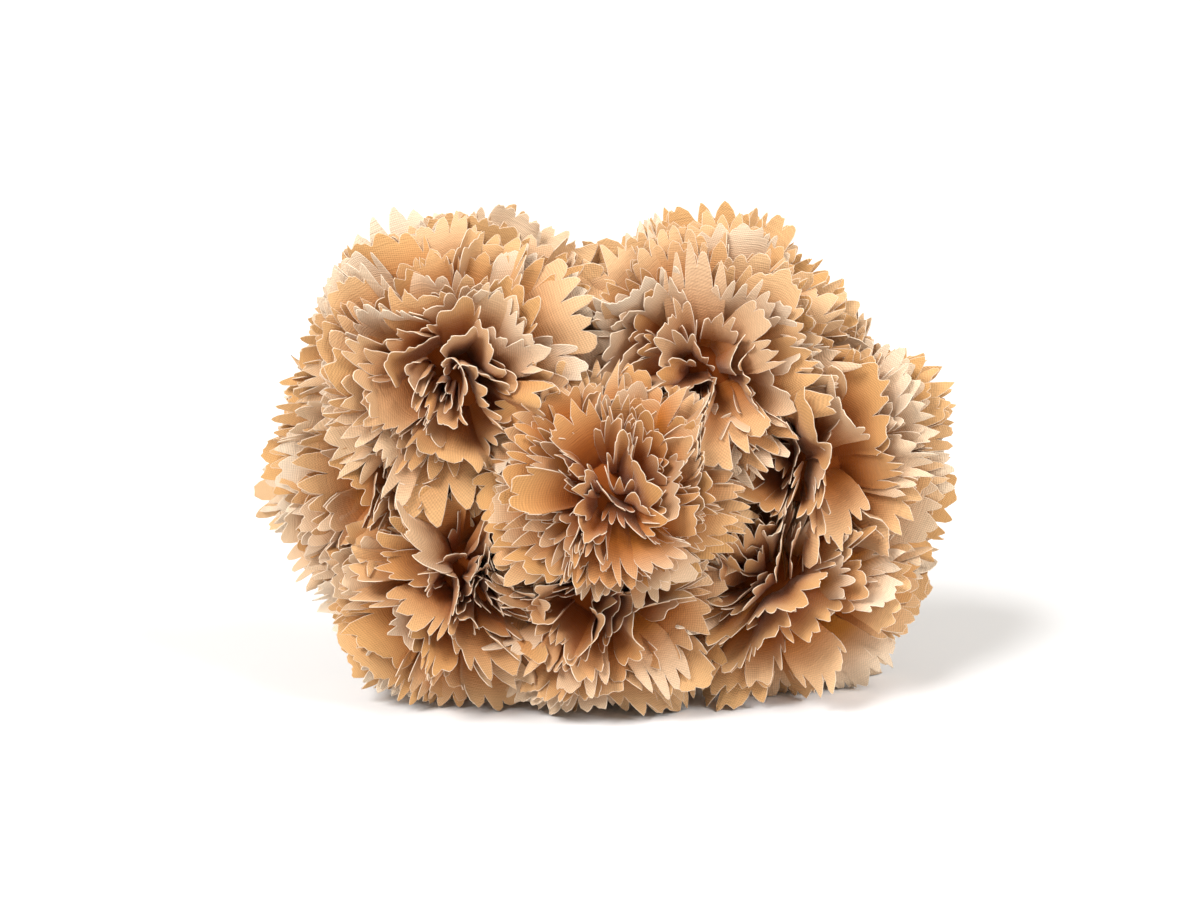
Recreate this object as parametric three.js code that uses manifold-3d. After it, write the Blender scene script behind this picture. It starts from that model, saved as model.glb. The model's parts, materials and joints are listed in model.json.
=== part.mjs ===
// A tight bunch of eight carnation heads that lies on a surface, faces toward -Y.
// Each head is one solid: layers of toothed petals that stand out of a smaller core.
// Each calyx and its cut stem are one solid, and a band ties the eight stems behind the heads.
// Millimetres and degrees, +Z up, origin at the middle of the bottom of the whole bunch.

import * as THREE from "three";
import { mergeVertices } from "three/addons/utils/BufferGeometryUtils.js";
import Module from "manifold-3d";

// Petals
const PETAL_THICKNESS = 0.8;
const TOOTH_DEPTH = 4.2;
const NOTCH_DEPTH = 9; // between two petals of one layer
const PETAL_CUP = 5; // how far a petal's sides lean in, in degrees
const PETAL_TILT = 3.5; // most that one petal leans in or out of its layer, in degrees
const RIM_DROP = 2.5; // how much shorter a petal is at its sides
const RIM_UNEVEN = 2; // most that one tooth stands short

// Layers of a head, from its middle outwards: lean from the axis, petals, and teeth on each petal
const LAYERS = [
  { lean: 9, petals: 3, teeth: 2 },
  { lean: 25, petals: 4, teeth: 4 },
  { lean: 41, petals: 6, teeth: 4 },
  { lean: 57, petals: 7, teeth: 4 },
  { lean: 73, petals: 8, teeth: 4 },
  { lean: 89, petals: 9, teeth: 4 },
  { lean: 104, petals: 9, teeth: 4 },
];

// Core of a head, an egg that the layers stand out of, with a flat foot on the calyx
const CORE_RADIUS = 17;
const CORE_MIDDLE = 10; // above the calyx mouth
const CORE_HALF_HEIGHT = 13;
const FOOT_RADIUS = 6;
const FOOT_HEIGHT = -1.2;
const FOOT_SIDES = 10;

// Room of a head: petals bend clear of the planes where its ball meets its neighbours', and of the
// surface
const PIVOT_DEPTH = 15; // below the calyx mouth
const HALF_GAP = 0.12;
const STACK_STEP = 1.35; // from a layer to the next, where they lie flat against a neighbour
const BEND_HARDNESS = 8;
const BEND_KEEPS = 0.5; // share of a petal's lost length that goes along the plane
const FLOOR_SINK = 2.4; // how deep the lowest petals would reach below the surface that trims them flat

// Calyx and stem
const CALYX_PROFILE = [
  [0, -26], [1.7, -26], [4.4, -20], [5.4, -9], [5.8, -1.5], [0, -1.5],
];
const CALYX_SIDES = 8;
const CALYX_FOOT = 24; // depth below the mouth at which the stem starts
const STEM_RADIUS = 1.9;
const STEM_SIDES = 6;
const STEM_STEPS = 13;

// Tie round the stems
const TIE_AT = new THREE.Vector3(0, 59, 20.4);
const TIE_SLOPE = -19; // of the bundle, from the heads down to the cut ends
const STEM_RING = 4.7; // from the bundle's middle to the middle of an outer stem
const TIE_INNER = 7.2;
const TIE_OUTER = 8.6;
const TIE_WIDTH = 9;
const TIE_SIDES = 14;
const BUNDLE_BEFORE = 16;
const BUNDLE_AFTER = 38;
const SPREAD_BEFORE = 1.5;
const SPREAD_AFTER = 1.4;
const STEM_EASE = 26; // how far a stem keeps its way before it turns, at both ends of its bend

// Heads: the middle of the calyx mouth, how far the axis leans right and up as it comes forward,
// the reach from the mouth to the petals' rims, and the stem's place round the bundle, counted
// from +X, or none for the stem in its middle
const HEADS = [
  { name: "front", base: [2.5, -63, 61.8], lean: [0.02, 0.2], reach: 35.4, slot: null, seed: 11 },
  { name: "upper_left", base: [-38, -36, 88], lean: [-0.02, -0.05], reach: 41.6, slot: 116, seed: 23 },
  { name: "upper_right", base: [25, -31, 87], lean: [-0.06, 0.08], reach: 41, slot: 64, seed: 37 },
  { name: "right", base: [51.5, -26, 60], lean: [-0.08, 0.05], reach: 42, slot: 13, seed: 41 },
  { name: "lower_right", base: [45, -34, 31.6], lean: [0.05, 0.05], reach: 39.8, slot: -39, seed: 59 },
  { name: "lower_centre", base: [-0.5, -41, 30.5], lean: [-0.08, 0.25], reach: 38.5, slot: -90, seed: 109 },
  { name: "lower_left", base: [-36.5, -38.5, 31.8], lean: [0.05, 0.1], reach: 39.5, slot: -141, seed: 73 },
  { name: "left", base: [-50.2, -25, 58], lean: [0.12, 0.08], reach: 41.2, slot: 167, seed: 89 },
];

const PETAL = new THREE.MeshStandardMaterial({ color: 0xd9b184, roughness: 0.9 });
const GREEN = new THREE.MeshStandardMaterial({ color: 0x8f8a5c, roughness: 0.8 });
const CORD = new THREE.MeshStandardMaterial({ color: 0xb89a6b, roughness: 0.9 });

const wasm = await Module();
wasm.setup();
const rad = THREE.MathUtils.degToRad;

// The same row of draws between 0 and 1 for the same seed
function draws(seed) {
  let state = seed >>> 0;
  return () => {
    state = (state + 0x6d2b79f5) >>> 0;
    let t = Math.imul(state ^ (state >>> 15), 1 | state);
    t = (t + Math.imul(t ^ (t >>> 7), 61 | t)) ^ t;
    return ((t ^ (t >>> 14)) >>> 0) / 4294967296;
  };
}

// A closed geometry as a solid that can be joined and cut
function solid(geometry) {
  const bare = geometry.clone();
  bare.deleteAttribute("normal");
  bare.deleteAttribute("uv");
  const merged = mergeVertices(bare, 1e-4);
  return new wasm.Manifold(new wasm.Mesh({
    numProp: 3,
    vertProperties: new Float32Array(merged.attributes.position.array),
    triVerts: new Uint32Array(merged.index.array),
  }));
}

// A solid as a geometry
function geometryOf(body) {
  const mesh = body.getMesh();
  const geometry = new THREE.BufferGeometry();
  geometry.setAttribute("position", new THREE.BufferAttribute(mesh.vertProperties, 3));
  geometry.setIndex(new THREE.BufferAttribute(mesh.triVerts, 1));
  return geometry.toNonIndexed();
}

// The solid's outer skin, without any hollow that joining sealed or scrap that it left loose
function outerSkin(body) {
  return body.decompose().reduce((most, one) => (one.volume() > most.volume() ? one : most));
}

// A lathe round +Z from a profile of radius and height
function turned(profile, sides) {
  const points = profile.map(([radius, height]) => new THREE.Vector2(radius, height));
  const geometry = new THREE.LatheGeometry(points, sides);
  return geometry.rotateX(Math.PI / 2);
}

// Head frame: middle of the calyx mouth, axis out through the face, and two directions across it
function headFrame({ base, lean, reach }) {
  const axis = new THREE.Vector3(lean[0], -1, lean[1]).normalize();
  const across = new THREE.Vector3(0, 0, 1).cross(axis).normalize();
  const up = axis.clone().cross(across);
  const origin = new THREE.Vector3(...base);
  const matrix = new THREE.Matrix4().makeBasis(across, up, axis).setPosition(origin);
  return { origin, axis, matrix, reach };
}

// Planes round a head's room, as outward normals with their distance from the head's pivot.
// Two heads part where the balls that their petals reach meet. The one that lies further back
// also keeps to its side of a plane along their mean axis, off the other's stem.
function roomOf(frame, others) {
  const pivot = frame.origin.clone().addScaledVector(frame.axis, -PIVOT_DEPTH);
  const margin = PETAL_THICKNESS / 2 + HALF_GAP;
  const planes = others.flatMap((other) => {
    const way = other.origin.clone().sub(frame.origin);
    const apart = way.length();
    const share = (apart ** 2 + frame.reach ** 2 - other.reach ** 2) / (2 * apart ** 2);
    const border = frame.origin.clone().addScaledVector(way, share);
    const meanAxis = frame.axis.clone().add(other.axis).normalize();
    const normals = [way.clone().normalize()];
    if (way.dot(meanAxis) > 0) normals.push(way.clone().projectOnPlane(meanAxis).normalize());
    return normals.map((normal) => ({ normal, distance: border.clone().sub(pivot).dot(normal) - margin }));
  });
  const floor = pivot.z - PETAL_THICKNESS / 2 + FLOOR_SINK;
  planes.push({ normal: new THREE.Vector3(0, 0, -1), distance: floor });
  return { pivot, planes };
}

// A point bent clear of the room's planes, with part of the length that it loses given back along
// them. It stays inside them by the inset.
function bentInto(room, point, inset) {
  const arm = point.clone().sub(room.pivot);
  const reach = arm.length();
  const planes = room.planes.map(({ normal, distance }) => ({ normal, distance: distance - inset }));
  for (const { normal, distance } of planes) {
    const along = arm.dot(normal);
    if (along <= 0) continue;
    const held = along / (1 + (along / distance) ** BEND_HARDNESS) ** (1 / BEND_HARDNESS);
    const side = arm.clone().addScaledVector(normal, -along);
    const whole = Math.sqrt(Math.max(arm.lengthSq() - held ** 2, 0));
    const sideLength = THREE.MathUtils.lerp(side.length(), whole, BEND_KEEPS);
    arm.copy(side.setLength(sideLength)).addScaledVector(normal, held);
  }
  let limit = Infinity;
  for (const { normal, distance } of planes) {
    const along = arm.dot(normal) / arm.length();
    if (along > 0) limit = Math.min(limit, distance / along);
  }
  return arm.setLength(Math.min(reach, limit)).add(room.pivot);
}

// A point in the head's frame from its radius, turn round the axis and height
function around(radius, turn, height) {
  return new THREE.Vector3(radius * Math.cos(turn), radius * Math.sin(turn), height);
}

// A point of a petal, from the lean of its rim, its turn round the axis and its depth below the rim
function petalPoint(reach, lean, turn, depth) {
  const rim = new THREE.Vector2(Math.sin(lean), Math.cos(lean)).multiplyScalar(reach);
  const root = coreSection(lean);
  const at = rim.lerp(root, depth / rim.distanceTo(root));
  return around(at.x, turn, at.y);
}

// Radius and height of the core's surface at a lean from the axis
function coreSection(lean) {
  return new THREE.Vector2(
    CORE_RADIUS * Math.sin(lean),
    CORE_MIDDLE + CORE_HALF_HEIGHT * Math.cos(lean),
  );
}

// The skin of a head: a list of points, and triangles that are added ring by ring
class Skin {
  constructor(frame, room) {
    this.frame = frame;
    this.room = room;
    this.inset = 0;
    this.points = [];
    this.faces = [];
  }

  place(local) {
    this.points.push(bentInto(this.room, local.applyMatrix4(this.frame.matrix), this.inset));
    return this.points.length - 1;
  }

  // A sheet of triangles gets the petals' thickness, split alike on both sides, and a wall round
  // the rim. It gives back the point under each of its points.
  thicken(points, faces) {
    const normals = new Map(points.map((k) => [k, new THREE.Vector3()]));
    const edges = new Set();
    for (const face of faces) {
      const [a, b, c] = face.map((k) => this.points[k]);
      const normal = b.clone().sub(a).cross(c.clone().sub(a));
      face.forEach((k, n) => {
        normals.get(k).add(normal);
        edges.add(`${k},${face[(n + 1) % 3]}`);
      });
    }
    const under = new Map();
    for (const [k, normal] of normals) {
      normal.setLength(PETAL_THICKNESS / 2);
      under.set(k, this.points.push(this.points[k].clone().sub(normal)) - 1);
      this.points[k].add(normal);
    }
    for (const [a, b, c] of faces) {
      this.faces.push([a, b, c], [under.get(a), under.get(c), under.get(b)]);
    }
    return { under, open: ([a, b]) => edges.has(`${a},${b}`) && !edges.has(`${b},${a}`) };
  }

  // Triangles between two closed rings, each a list of points with rising turns
  joinRings(upper, lower) {
    const rows = [upper, lower].map((ring) => {
      const sorted = ring.slice().sort((one, two) => one.turn - two.turn);
      return [...sorted, { ...sorted[0], turn: sorted[0].turn + 2 * Math.PI }];
    });
    this.faces.push(...strip(rows[0], rows[1]));
  }

  solid() {
    const geometry = new THREE.BufferGeometry();
    const position = this.points.flatMap((point) => point.toArray());
    geometry.setAttribute("position", new THREE.Float32BufferAttribute(position, 3));
    geometry.setIndex(this.faces.flat());
    return solid(geometry);
  }
}

// Triangles between two rows of points that run the same way, each point with its turn
function strip(upper, lower) {
  const faces = [];
  let i = 0;
  let j = 0;
  while (i < upper.length - 1 || j < lower.length - 1) {
    const nextUpper = i < upper.length - 1 ? upper[i + 1].turn : Infinity;
    const nextLower = j < lower.length - 1 ? lower[j + 1].turn : Infinity;
    if (nextLower <= nextUpper) {
      faces.push([upper[i].point, lower[j].point, lower[j + 1].point]);
      j += 1;
    } else {
      faces.push([upper[i].point, lower[j].point, upper[i + 1].point]);
      i += 1;
    }
  }
  return faces;
}

// One layer of petals: roots on the core, notches between petals, toothed rims.
// It gives back the rings of roots on its upper and under side.
function addLayer(skin, layer, draw) {
  const phase = draw() * 2 * Math.PI;
  const wrap = (turn) => turn % (2 * Math.PI);
  const roots = [];
  const valleys = [];
  const tips = [];
  const place = (lean, turn, depth) => {
    const local = petalPoint(skin.frame.reach, rad(lean), turn, depth);
    return { turn, point: skin.place(local) };
  };
  for (let petal = 0; petal < layer.petals; petal += 1) {
    const tilt = PETAL_TILT * (2 * draw() - 1);
    // across runs from -1 to 1 over the petal
    const lean = (across) => layer.lean + (tilt + PETAL_CUP) * (1 - across ** 2) - PETAL_CUP / 2;
    const turn = (across) => phase + ((petal + (across + 1) / 2) / layer.petals) * 2 * Math.PI;
    for (const across of [-1, 0]) {
      const section = coreSection(rad(layer.lean));
      const point = skin.place(around(section.x, turn(across), section.y));
      roots.push({ turn: turn(across), point });
    }
    for (let tooth = 0; tooth < layer.teeth; tooth += 1) {
      const left = (2 * tooth) / layer.teeth - 1;
      const middle = (2 * tooth + 1) / layer.teeth - 1;
      const depth = tooth === 0 ? NOTCH_DEPTH : TOOTH_DEPTH + RIM_DROP * left ** 2;
      valleys.push(place(lean(left), turn(left), depth));
      tips.push(place(lean(middle), turn(middle), RIM_DROP * middle ** 2 + RIM_UNEVEN * draw()).point);
    }
  }
  const closed = (ring) => [...ring, { ...ring[0], turn: ring[0].turn + 2 * Math.PI }];
  const faces = strip(closed(roots), closed(valleys));
  tips.forEach((tip, k) => {
    faces.push([valleys[k].point, tip, valleys[(k + 1) % valleys.length].point]);
  });
  const all = [...roots, ...valleys].map(({ point }) => point).concat(tips);
  const { under } = skin.thicken(all, faces);
  tips.forEach((tip, k) => {
    const [left, right] = [valleys[k].point, valleys[(k + 1) % valleys.length].point];
    for (const [p, q] of [[left, tip], [tip, right]]) {
      skin.faces.push([q, p, under.get(p)], [q, under.get(p), under.get(q)]);
    }
  });
  const upper = roots.map(({ turn, point }) => ({ turn: wrap(turn), point }));
  const lower = upper.map(({ turn, point }) => ({ turn, point: under.get(point) }));
  return { upper, lower };
}

// A whole head: its layers, with the core's skin between them, its crown and its foot
function headSolid(frame, room, seed) {
  const skin = new Skin(frame, room);
  const draw = draws(seed);
  skin.inset = STACK_STEP * LAYERS.length;
  const crown = [{ turn: 0, point: skin.place(around(0, 0, CORE_MIDDLE + CORE_HALF_HEIGHT - 1)) }];
  let above = null;
  for (const layer of LAYERS) {
    skin.inset -= STACK_STEP;
    const { upper, lower } = addLayer(skin, layer, draw);
    if (above) skin.joinRings(above, upper);
    else skin.joinRings(crown, upper);
    above = lower;
  }
  const foot = Array.from({ length: FOOT_SIDES }, (_, side) => {
    const turn = (2 * Math.PI * side) / FOOT_SIDES;
    return { turn, point: skin.place(around(FOOT_RADIUS, turn, FOOT_HEIGHT)) };
  });
  skin.joinRings(above, foot);
  skin.joinRings(foot, [{ turn: 0, point: skin.place(around(0, 0, FOOT_HEIGHT)) }]);
  return skin.solid();
}

// Everything below the surface that the bunch lies on
function belowSurface() {
  const depth = 20;
  const geometry = new THREE.BoxGeometry(600, 600, depth);
  return solid(geometry.translate(0, 0, -depth / 2));
}

function headGeometry(head, frame, others) {
  const whole = headSolid(frame, roomOf(frame, others), head.seed);
  return geometryOf(outerSkin(whole.subtract(belowSurface())));
}

// Directions of the bundle: along the stems to their cut ends, across to +X, and up
function bundleDirections() {
  const along = new THREE.Vector3(0, Math.cos(rad(TIE_SLOPE)), Math.sin(rad(TIE_SLOPE)));
  const across = new THREE.Vector3(1, 0, 0);
  return { along, across, up: across.clone().cross(along) };
}

// Middle line of a stem: straight out of its calyx, in one bend to the bundle, and on through the tie
function stemRoute(head, frame, bundle) {
  const down = (depth) => frame.origin.clone().addScaledVector(frame.axis, -depth);
  const inBundle = (along, spread) => {
    const ring = head.slot === null ? 0 : STEM_RING * spread;
    const turn = rad(head.slot ?? 0);
    return TIE_AT.clone()
      .addScaledVector(bundle.along, along)
      .addScaledVector(bundle.across, ring * Math.cos(turn))
      .addScaledVector(bundle.up, ring * Math.sin(turn));
  };
  const bend = new THREE.CubicBezierCurve3(
    down(CALYX_FOOT),
    down(CALYX_FOOT + STEM_EASE),
    inBundle(-BUNDLE_BEFORE - STEM_EASE, SPREAD_BEFORE),
    inBundle(-BUNDLE_BEFORE, SPREAD_BEFORE),
  );
  return new THREE.CatmullRomCurve3([
    ...bend.getPoints(6),
    inBundle(-TIE_WIDTH / 2 - 1, 1),
    inBundle(TIE_WIDTH / 2 + 1, 1),
    inBundle(BUNDLE_AFTER, SPREAD_AFTER),
  ], false, "centripetal");
}

function stemGeometry(head, frame, bundle) {
  const section = new THREE.Shape();
  for (let side = 0; side < STEM_SIDES; side += 1) {
    const turn = (2 * Math.PI * side) / STEM_SIDES;
    const point = [STEM_RADIUS * Math.cos(turn), STEM_RADIUS * Math.sin(turn)];
    if (side === 0) section.moveTo(...point);
    else section.lineTo(...point);
  }
  const stem = new THREE.ExtrudeGeometry(section, {
    steps: STEM_STEPS,
    extrudePath: stemRoute(head, frame, bundle),
  });
  const calyx = turned(CALYX_PROFILE, CALYX_SIDES).applyMatrix4(frame.matrix);
  return geometryOf(outerSkin(solid(calyx).add(solid(stem))));
}

function tieGeometry(bundle) {
  const half = TIE_WIDTH / 2;
  const profile = [
    [TIE_INNER, -half], [TIE_OUTER, -half], [TIE_OUTER, half], [TIE_INNER, half], [TIE_INNER, -half],
  ];
  const turn = new THREE.Quaternion().setFromUnitVectors(new THREE.Vector3(0, 0, 1), bundle.along);
  const place = new THREE.Matrix4().compose(TIE_AT, turn, new THREE.Vector3(1, 1, 1));
  return turned(profile, TIE_SIDES).applyMatrix4(place);
}

function named(name, geometry, material) {
  const mesh = new THREE.Mesh(geometry, material);
  mesh.name = name;
  return mesh;
}

const bunch = new THREE.Group();
const bundle = bundleDirections();
const frames = HEADS.map(headFrame);
HEADS.forEach((head, k) => {
  const others = frames.filter((_, n) => n !== k);
  bunch.add(named(`bloom_${head.name}`, headGeometry(head, frames[k], others), PETAL));
  bunch.add(named(`stem_${head.name}`, stemGeometry(head, frames[k], bundle), GREEN));
});
bunch.add(named("tie", tieGeometry(bundle), CORD));

export default bunch;
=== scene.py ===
import json
import math
import random
from collections import namedtuple

import bmesh
import bpy
import numpy as np
from bpy.props import FloatProperty, FloatVectorProperty, IntProperty, PointerProperty
from mathutils import Matrix, Vector
from mathutils.geometry import interpolate_bezier

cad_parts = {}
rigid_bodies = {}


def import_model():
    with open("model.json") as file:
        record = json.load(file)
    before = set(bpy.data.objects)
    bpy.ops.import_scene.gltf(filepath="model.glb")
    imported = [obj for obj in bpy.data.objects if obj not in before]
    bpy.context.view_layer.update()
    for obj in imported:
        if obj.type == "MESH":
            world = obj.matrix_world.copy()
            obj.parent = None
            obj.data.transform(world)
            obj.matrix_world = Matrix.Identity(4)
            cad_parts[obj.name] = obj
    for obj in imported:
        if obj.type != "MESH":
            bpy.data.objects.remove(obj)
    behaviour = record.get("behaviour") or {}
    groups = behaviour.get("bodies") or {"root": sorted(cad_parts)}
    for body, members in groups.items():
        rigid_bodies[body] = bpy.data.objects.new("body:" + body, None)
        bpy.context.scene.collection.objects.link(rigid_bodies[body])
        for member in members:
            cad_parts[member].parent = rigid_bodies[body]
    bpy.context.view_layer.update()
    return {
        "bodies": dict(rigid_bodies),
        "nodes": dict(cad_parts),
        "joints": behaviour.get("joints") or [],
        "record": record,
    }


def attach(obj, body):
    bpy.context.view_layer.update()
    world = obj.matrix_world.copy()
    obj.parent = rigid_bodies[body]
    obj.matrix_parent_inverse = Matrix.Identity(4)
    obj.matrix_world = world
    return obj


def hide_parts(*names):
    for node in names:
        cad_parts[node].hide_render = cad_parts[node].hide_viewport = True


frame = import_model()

bl_info = {
    "name": "Bunch of carnations",
    "version": (1, 0, 0),
    "blender": (4, 5, 0),
    "location": "3D View > Sidebar > Carnations",
    "description": "Dresses a tied bunch of eight cloth-petalled carnations that lies on a surface",
    "category": "Object",
}

# Heads, in metres: the middle of the calyx mouth, how far the axis leans right and up as it comes
# forward, how far its heart leans from there, the reach from the mouth to the rims, the lean in
# degrees from which the petals lie open, the stem's place round the bundle in degrees from +X, or
# none for the stem in its middle, and the seed of its draws
Head = namedtuple("Head", "name base lean heart reach open_lean slot seed")
HEADS = (
    Head("front", (0.0025, -0.063, 0.0618), (0.02, 0.2), (-0.08, 0.16), 0.0342, 105, None, 11),
    Head("upper_left", (-0.038, -0.036, 0.088), (-0.02, -0.05), (0.0, 0.0), 0.0416, 46, 116, 23),
    Head("upper_right", (0.025, -0.031, 0.087), (-0.06, 0.08), (-0.04, -0.06), 0.041, 56, 64, 37),
    Head("right", (0.0515, -0.026, 0.06), (-0.08, 0.05), (-0.7, 0.0), 0.042, 60, 13, 41),
    Head("lower_right", (0.045, -0.034, 0.0316), (0.05, 0.05), (-0.85, 0.8), 0.0398, 50, -39, 59),
    Head("lower_centre", (-0.0005, -0.041, 0.0305), (-0.08, 0.25), (-0.2, 0.3), 0.0398, 75, -90, 109),
    Head("lower_left", (-0.0365, -0.0385, 0.0318), (0.05, 0.1), (0.35, 0.08), 0.0395, 66, -141, 73),
    Head("left", (-0.0502, -0.025, 0.058), (0.12, 0.08), (0.0, 0.0), 0.0412, 54, 167, 89),
)

# Petals that stand out with no others over them: the head, the lean and turn in degrees of the
# root and of the rim from the head's axis, the width, how strongly they are cupped, and the shade
# of the cloth from 0 to 1
WidePetal = namedtuple("WidePetal", "head root rim width cup shade")
WIDE_PETALS = (
    WidePetal("upper_right", (16, 92), (56, 97), 0.026, 0.3, 1.0),
    WidePetal("upper_right", (16, 50), (38, 30), 0.028, 0.3, 0.9),
    WidePetal("upper_right", (20, -29), (36, -57), 0.024, 1.2, 0.6),
    WidePetal("upper_left", (50, 50), (74, 66), 0.011, 0.8, 0.85),
    WidePetal("upper_left", (50, 36), (74, 31), 0.026, 0.2, 0.5),
    WidePetal("upper_left", (32, 103), (54, 107), 0.024, 0.5, 0.3),
    WidePetal("upper_left", (16, -174), (38, -166), 0.026, 0.8, 0.7),
    WidePetal("right", (16, 6), (38, -51), 0.027, 0.7, 0.5),
    WidePetal("front", (33, 115), (66, 114), 0.032, 1.6, 0.35),
    WidePetal("front", (30, -176), (50, 177), 0.019, 1.5, 0.1),
    WidePetal("front", (48, -52), (76, -53), 0.016, 0.5, 0.9),
    WidePetal("left", (14, 125), (36, 171), 0.026, 0.6, 0.3),
    WidePetal("lower_left", (11, 160), (32, -149), 0.028, 0.6, 0.4),
    WidePetal("lower_left", (17, -45), (38, -72), 0.026, 0.5, 0.6),
    WidePetal("lower_centre", (24, -92), (48, -91), 0.018, 0.4, 0.9),
    WidePetal("lower_centre", (39, -40), (65, -53), 0.020, 0.4, 0.8),
    WidePetal("lower_right", (26, -75), (52, -62), 0.024, 0.4, 0.5),
)
WIDE_CLEAR = 0.6  # how much around the middle of such a petal stays clear, in half widths
WIDE_FACE = (0.45, 0.7, 0.95)  # where that is looked at, as shares of its curl
WIDE_FOLD = (0.2, math.pi * 1.5)  # pleat and waves of its section
WIDE_YAW = (-8, 8)

# A petal to be made: the direction of its middle from the calyx mouth, the way across that in
# which it leans out, its lean from the heart, how open it lies, its width, the bend, pleat and
# waves of its section, how that is turned, how far it curls outwards, and its shade
Petal = namedtuple("Petal", "middle out_way lean openness width section yaw curl shade")

# Core of a head, an egg that the petals stand out of, in shares of the head's reach
CORE = np.array((0.41, 0.41, 0.28))
CORE_MIDDLE = np.array((0.0, 0.0, 0.24))
CORE_FILLED = 0.9  # how much of that the core's own mesh fills
CORE_SHADE = 0.4
CORE_BACK = (0.3, 1.5)  # where the core's back starts, and how fast its colour changes from there
CLAW_DEPTH = 0.82  # how far out of the hollows the core's back counts, for the painted shade of the hollows

# Leans of the petals from their head's axis: up to the second one they are crumpled
FIRST_LEAN = math.radians(4)
HEART_LEAN = math.radians(18)
LAST_LEAN = math.radians(104)
LOW_LEAN = math.radians(70)  # from here on petals spring ever closer to the calyx
LOW_DROP = math.radians(62)  # how much lower on the core the last of them spring
LOW_SHOWN = 0.7  # how far out of the hollows their roots count, for the painted shade of the hollows
GOLDEN_TURN = math.pi * (3 - math.sqrt(5))

# Ranges of the draws for a petal, first in the heart of a bloom and then where petals lie open:
# bend, pleat and waves of its section, and how it is turned and curls, in degrees
BENDS = ((0.7, 2.3), (-0.2, 1.1))
PLEATS = ((0.2, 1.0), (0.1, 0.7))
WAVES = ((1.0, 2.0), (0.8, 2.0))
YAWS = ((-62, 62), (-20, 20))
CURLS = ((-8, 10), (-5, 14))
BEND_SIDES = (-1, 1, 1)  # to which side petals of the heart bend
WIDTH_SHARES = (0.7, 1.3)
REACH_MORE = (-0.0040, 0.0011)  # how much longer than its head's reach a petal is
HEART_SHORT = 0.005  # how much shorter it may be in the heart
BORDER_GIVES = (0.0005, 0.009)  # how far it may reach past a border
SHADE_POWER = 1.3  # above 1 more petals are dark than pale
LEAN_JITTER = (8, 5)  # how far off the spiral its lean may be, in the heart and open, in degrees
TURN_JITTER = 0.2
CALM_LEAN = 0.2  # added to a lean, so that turns near the axis stay small

# Shape along a petal: powers of the way along it with which it curls and swings, how much further
# petals of the heart swing, and how far the way along counts past the head's reach
CURL_POWER = 1.3
SWING_POWER = 1.4
HEART_SWING = 2
FURTHEST = 1.2

# Room of a head: its petals are shorter towards a neighbour and the surface
PAST_BORDER = math.radians(34)  # leans past a border whose petals still show
BORDER_RISE = 0.11  # how much longer petals grow along a border, as a share of their reach
RISE_ZONE = 0.12
BEHIND_GIVE = 0.0065  # how far a head that lies further back may reach in behind its neighbour
PRESS_GIVE = 0.001  # how much further than its reach the cloth may bend past a border
PLANE_GAP = 0.0002
FLOOR_GAP = 0.0004
FLOOR_GIVE = 0.004  # how much of a petal lies bent along the surface

# Seeds of the swings through the whole bunch, and the lengths of their waves
RUFFLE = (5, 0.019, 0.036)
SWAY = (8, 0.045, 0.085)

# Bundle: the middle of the tie, how the stems slope to their cut ends, the ring that the outer
# stems stand on, and where along the bundle it widens, with how much
TIE_AT = np.array((0.0, 0.059, 0.0204))
TIE_SLOPE = math.radians(-19)
STEM_RING = 0.0047
BUNDLE = ((-0.016, 1.5), (-0.0055, 1.0), (0.0055, 1.0), (0.038, 1.4))
BUNDLE_WAY = np.array((0.0, math.cos(TIE_SLOPE), math.sin(TIE_SLOPE)))
ACROSS = np.array((1.0, 0.0, 0.0))
BUNDLE_UP = np.cross(ACROSS, BUNDLE_WAY)
STEM_EASE = 0.026
BEND_STEPS = 44  # points along the bend of a stem, and along its straight part
BOUND_STEPS = 23
CALYX_FOOT = 0.024

# Cord: its pitch and how high its ends lie over the turns' middle line, in radii, its distance
# from the ring of the stems, the lay of its strands, its sides, its points in one turn and in one
# end, and the knots of an end's curve: along the bundle, up from the turns and across the bundle
CORD_PITCH = 2.08
CORD_TOP = 1.7
CORD_CLEAR = 0.0023
CORD_LAY = 0.0042
CORD_SIDES = 10
CORD_STEPS = 30
END_STEPS = 16
CORD_END = (
    (0.003, -0.0006, -0.0016),
    (0.0004, 0.0011, 0.0004),
    (-0.0012, 0.0006, 0.0052),
    (-0.0030, -0.0022, 0.0098),
)

# Stops across one tooth, as shares of its width, rows down a petal, as shares of its length, and
# places across it at which its fold is worked out
TOOTH_STOPS = (0.0, 0.07, 0.22, 0.40, 0.54, 0.70, 0.88)
PETAL_ROWS = (0.0, 0.36, 0.62, 0.84, 1.0)
FOLD_STEPS = 33

# Ranges of the draws for a rim: widths of its teeth and depths of the slits between them in shares,
# how blunt and how peaked its teeth are, how much lower its sides lie, how much shorter a tip may
# be, and how ragged the cut is
TOOTH_WIDTHS = (0.55, 1.5)
SLIT_DEPTHS = (0.4, 1.4)
TOOTH_BLUNT = (2, 5)
TOOTH_PEAK = (0.3, 0.85)
RIM_DROP = (0.002, 0.0045)
TIP_SHORT = 0.0022
RAGGED = 0.0004
AT_SIDE = 0.999  # share across from which a point is on the petal's side
# how much of the pale fray and its painted highlight a petal's sides get
SIDE_FRAY_AND_HIGHLIGHT = 0.7

# Materials: pitch of the weave, and scales of the noises that make its threads uneven, break the
# fray into threads, cloud the cloth and the stems, and make the fibres of the cord
WEAVE_PITCH = 0.00065
WOBBLE_SCALE = 420
THREAD_SCALE = 1900
CLOTH_SCALE = 90
STEM_SCALE = 260
FIBRE_SCALE = 2600

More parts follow.
